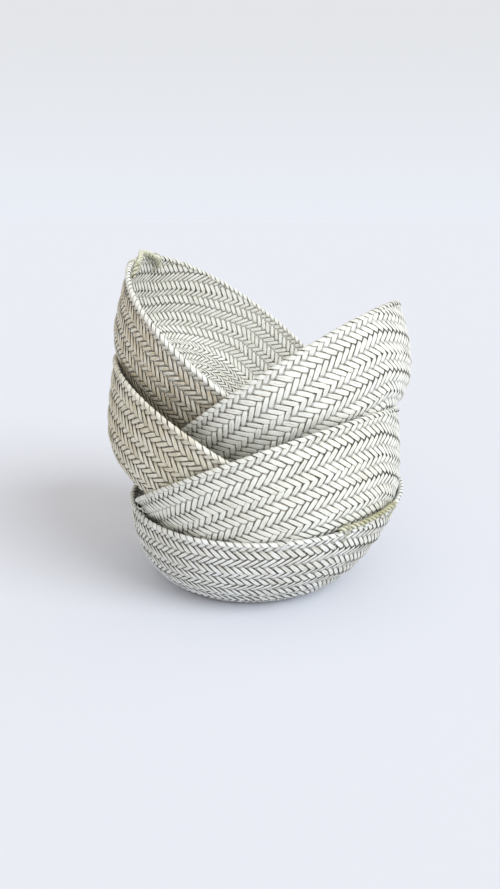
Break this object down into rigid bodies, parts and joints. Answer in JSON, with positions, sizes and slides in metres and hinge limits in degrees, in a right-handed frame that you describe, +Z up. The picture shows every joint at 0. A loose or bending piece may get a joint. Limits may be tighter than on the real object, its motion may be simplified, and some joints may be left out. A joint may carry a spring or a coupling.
{
  "type": "wall basket stack",
  "caption": "Stack of hand-plaited palm-leaf wall baskets: shallow round herringbone bowls with hanging loops, nested at alternating tilts.",
  "frame": {"origin": "middle of the lowest basket's flat base, on the surface that the stack stands on", "axes": "+Z up, +X to the viewer's right and +Y away from the viewer"},
  "size_m": [0.3269, 0.3285, 0.3509],
  "materials": {
    "plait": "matte",
    "thread": "matte",
    "loop": "matte"
  },
  "bodies": {
    "basket_1": {"basket_1_plait": "plait", "basket_1_seam_thread": "thread", "basket_1_hanging_loop": "loop", "basket_1_loop_stitch_a": "loop", "basket_1_loop_stitch_b": "loop"},
    "basket_2": {"basket_2_plait": "plait", "basket_2_seam_thread": "thread", "basket_2_hanging_loop": "loop", "basket_2_loop_stitch_a": "loop", "basket_2_loop_stitch_b": "loop"},
    "basket_3": {"basket_3_plait": "plait", "basket_3_seam_thread": "thread", "basket_3_hanging_loop": "loop", "basket_3_loop_stitch_a": "loop", "basket_3_loop_stitch_b": "loop"},
    "basket_4": {"basket_4_plait": "plait", "basket_4_seam_thread": "thread", "basket_4_hanging_loop": "loop", "basket_4_loop_stitch_a": "loop", "basket_4_loop_stitch_b": "loop"},
    "basket_5": {"basket_5_plait": "plait", "basket_5_seam_thread": "thread", "basket_5_hanging_loop": "loop", "basket_5_loop_stitch_a": "loop", "basket_5_loop_stitch_b": "loop"}
  },
  "joints": [
    {"name": "basket_2_lift", "type": "slide", "parent": "basket_1", "child": "basket_2", "axis": [0, 0, 1], "range_m": [0, 0.115]},
    {"name": "basket_3_lift", "type": "slide", "parent": "basket_2", "child": "basket_3", "axis": [0, 0, 1], "range_m": [0, 0.17]},
    {"name": "basket_4_lift", "type": "slide", "parent": "basket_3", "child": "basket_4", "axis": [0, 0, 1], "range_m": [0, 0.172]},
    {"name": "basket_5_lift", "type": "slide", "parent": "basket_4", "child": "basket_5", "axis": [0, 0, 1], "range_m": [0, 0.187]}
  ]
}
